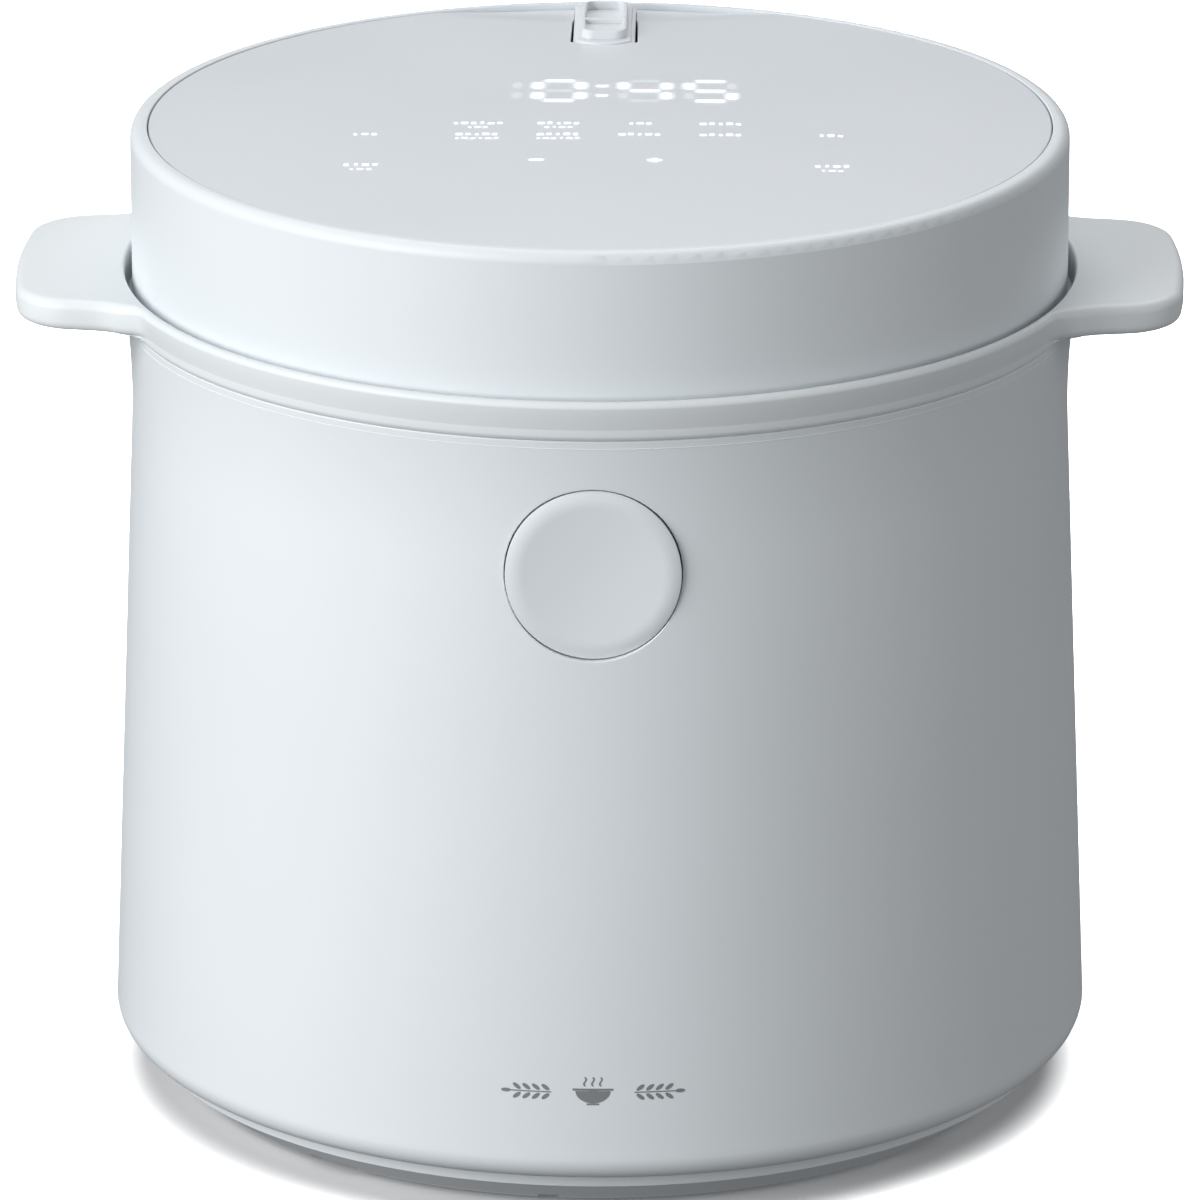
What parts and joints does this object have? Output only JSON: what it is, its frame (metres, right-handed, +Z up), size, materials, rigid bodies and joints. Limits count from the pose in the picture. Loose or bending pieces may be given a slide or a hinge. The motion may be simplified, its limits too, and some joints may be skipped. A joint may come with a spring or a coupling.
{
  "type": "rice cooker",
  "caption": "Round tapered rice cooker with a hinged touch-panel lid, a round lid-release button on the front, two lug handles and a lift-out steam cap.",
  "frame": {"origin": "centre of the round body's footprint, on the surface the feet stand on", "axes": "+Z up, -Y towards the front with the lid button, X across the two handles"},
  "size_m": [0.2866, 0.2431, 0.2452],
  "materials": {
    "white_plastic": "fine satin texture",
    "panel_plastic": "smooth satin",
    "cap_plastic": "satin",
    "grey_plastic": "satin",
    "black_plastic": "moulded",
    "silicone": "matte",
    "aluminium": "brushed",
    "pot_coating": "dark non-stick coat",
    "galvanised_steel": "galvanised",
    "steel": "zinc plated",
    "mica_band": "glass cloth",
    "circuit_board": "solder mask",
    "transformer_core": "varnished",
    "glass_fuse": "clear",
    "wire": "insulation",
    "brass_pins": "nickel flashed",
    "label_film": "blank film"
  },
  "bodies": {
    "root": {"outer_shell": "white_plastic", "collar": "white_plastic", "base_tray": "white_plastic", "rubber_feet": "silicone", "base_screws": "steel", "collar_screws": "steel", "rating_plate": "label_film", "inner_casing": "galvanised_steel", "heating_plate": "aluminium", "heating_element": "steel", "plate_supports": "galvanised_steel", "band_heater": "mica_band", "sensor_guide": "grey_plastic", "sensor_spring": "steel", "inner_pot": "pot_coating", "power_board": "circuit_board", "transformer": "transformer_core", "relay": "grey_plastic", "capacitors": "black_plastic", "fuse": "glass_fuse", "wiring": "wire", "power_inlet": "black_plastic", "inlet_pins": "brass_pins", "latch_bracket": "galvanised_steel", "latch_pin": "steel", "latch_spring": "steel", "button_guide": "grey_plastic", "button_spring": "steel", "hinge_pin": "steel", "hinge_springs": "steel"},
    "lid": {"lid_shell": "white_plastic", "top_panel": "panel_plastic", "lid_liner": "grey_plastic", "inner_lid": "aluminium", "inner_lid_grommet": "silicone", "lid_gasket": "silicone", "steam_duct": "grey_plastic", "steam_duct_seal": "silicone", "display_board": "circuit_board", "led_digits": "grey_plastic", "led_icons": "grey_plastic", "touch_springs": "steel", "lid_catch": "grey_plastic", "lid_screws": "steel"},
    "steam_cap": {"steam_cap_base": "cap_plastic", "steam_cap_top": "cap_plastic", "steam_cap_seal": "silicone"},
    "lid_button": {"lid_button": "white_plastic"},
    "latch": {"latch_lever": "grey_plastic"},
    "sensor": {"sensor_cup": "aluminium"}
  },
  "joints": [
    {"name": "lid_hinge", "type": "hinge", "parent": "root", "child": "lid", "pos_m": [0, 0.1165, 0.211], "axis": [-1, 0, 0], "range_deg": [0, 90]},
    {"name": "button_press", "type": "slide", "parent": "root", "child": "lid_button", "axis": [0, 1, 0], "range_m": [0, 0.003], "stiffness_N_per_m": 600, "springref_m": -0.001, "deforming": ["button_spring"]},
    {"name": "latch_turn", "type": "hinge", "parent": "root", "child": "latch", "pos_m": [0, -0.1015, 0.178], "axis": [1, 0, 0], "range_deg": [0, 11.46]},
    {"name": "sensor_press", "type": "slide", "parent": "root", "child": "sensor", "axis": [0, 0, -1], "range_m": [0, 0.0012], "stiffness_N_per_m": 300, "springref_m": -0.001, "deforming": ["sensor_spring"]},
    {"name": "steam_cap_lift", "type": "slide", "parent": "lid", "child": "steam_cap", "axis": [0, 0, 1], "range_m": [0, 0.03]}
  ],
  "couplings": [
    {"joint": "latch_turn", "follows": "button_press", "rad_per_m": 66.66}
  ]
}
